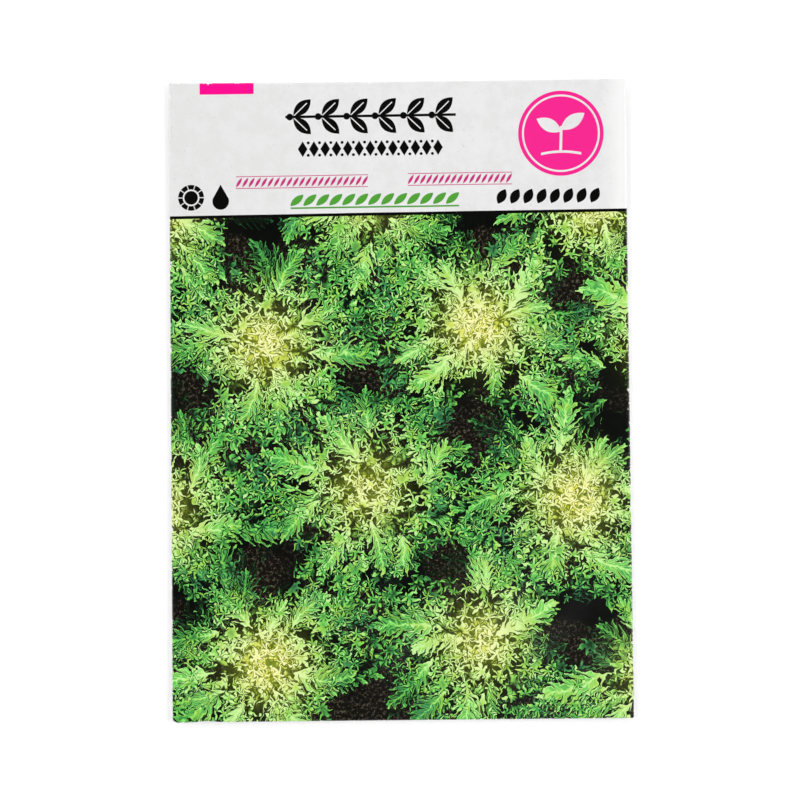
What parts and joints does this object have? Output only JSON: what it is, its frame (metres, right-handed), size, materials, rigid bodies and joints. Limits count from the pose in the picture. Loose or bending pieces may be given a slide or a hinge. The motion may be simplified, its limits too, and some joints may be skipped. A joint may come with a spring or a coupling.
{
  "type": "filled paper seed packet",
  "caption": "Flat sealed envelope of folded coated paper with a thin layer of loose seeds inside, lying on its back with its printed front up.",
  "frame": {"origin": "under the middle of the packet, on the surface that its back rests on", "axes": "+Z out of the printed front panel, +Y towards the packet's top edge, +X to the right as the front is read"},
  "size_m": [0.082, 0.1142, 0.0021],
  "materials": {
    "coated_paper": "gloss-coated white paper, printed on its outside",
    "dry_seed": "matt dry seed coat"
  },
  "bodies": {
    "root": {"envelope": "coated_paper", "seeds": "dry_seed"}
  },
  "joints": []
}
